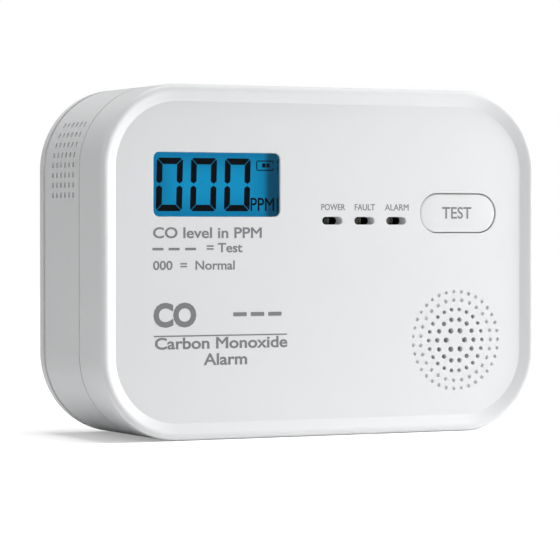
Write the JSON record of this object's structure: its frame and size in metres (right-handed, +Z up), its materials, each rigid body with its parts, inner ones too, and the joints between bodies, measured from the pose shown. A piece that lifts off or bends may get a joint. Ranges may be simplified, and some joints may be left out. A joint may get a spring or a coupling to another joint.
{
  "type": "carbon monoxide alarm",
  "caption": "White battery carbon monoxide alarm with a rounded two-part case, recessed face, lit number display, round sounder grille, lamp slots, test button and slide-off wall plate.",
  "frame": {"origin": "centre of the bounding box at the height of the flat base", "axes": "+Z up, front faces -Y, +X to the right seen from the front, wall plate on the +Y side"},
  "size_m": [0.112, 0.037, 0.08],
  "materials": {
    "case_plastic": "fine satin, moulded",
    "rear_plastic": "fine satin, moulded",
    "button_plastic": "fine satin, moulded",
    "clear_pane": "clear, polished",
    "display_glass": "gloss",
    "backlight": "diffusing",
    "white_plastic": "satin",
    "dark_plastic": "satin",
    "board": "solder mask gloss",
    "conductive_rubber": "matte",
    "steel": "plain",
    "brass": "plain",
    "foam": "matte foam",
    "capacitor_sleeve": "gloss",
    "resistor_body": "gloss",
    "copper_winding": "enamelled copper",
    "green_lens": "clear tinted",
    "amber_lens": "clear tinted",
    "red_lens": "clear tinted",
    "cell_sleeve": "gloss sleeve",
    "lead_red": "gloss insulation"
  },
  "bodies": {
    "case": {"rear_case": "rear_plastic", "front_cover": "case_plastic", "switch_body": "steel", "display_window": "clear_pane", "display_glass": "display_glass", "backlight_panel": "backlight", "display_frame": "white_plastic", "display_connectors": "conductive_rubber", "circuit_board": "board", "board_screws": "steel", "case_screws": "steel", "microcontroller": "dark_plastic", "capacitors": "capacitor_sleeve", "resistors": "resistor_body", "sounder_coil": "copper_winding", "co_sensor": "steel", "sensor_cap": "white_plastic", "sounder_housing": "dark_plastic", "sounder_disc": "brass", "sounder_gasket": "foam", "led_holder": "dark_plastic", "power_led": "green_lens", "fault_led": "amber_lens", "alarm_led": "red_lens", "upper_battery": "cell_sleeve", "lower_battery": "cell_sleeve", "terminal_contacts": "steel", "series_contact": "steel", "contact_springs": "steel", "battery_leads": "lead_red", "sounder_leads": "lead_red"},
    "button": {"test_button": "button_plastic"},
    "plunger": {"switch_plunger": "dark_plastic"},
    "door": {"battery_door": "rear_plastic"},
    "plate": {"mounting_plate": "rear_plastic"}
  },
  "joints": [
    {"name": "test_press", "type": "slide", "parent": "case", "child": "button", "axis": [0, 1, 0], "range_m": [0, 0.0006], "stiffness_N_per_m": 800, "springref_m": -0.0005},
    {"name": "switch_press", "type": "slide", "parent": "case", "child": "plunger", "axis": [0, 1, 0], "range_m": [0, 0.0006]},
    {"name": "door_hinge", "type": "hinge", "parent": "case", "child": "door", "pos_m": [0.004, 0.0138, 0.0449], "axis": [1, 0, 0], "range_deg": [0, 90]},
    {"name": "plate_slide", "type": "slide", "parent": "case", "child": "plate", "axis": [0, 0, -1], "range_m": [0, 0.0065]}
  ],
  "couplings": [
    {"joint": "switch_press", "follows": "test_press", "ratio": 1}
  ]
}
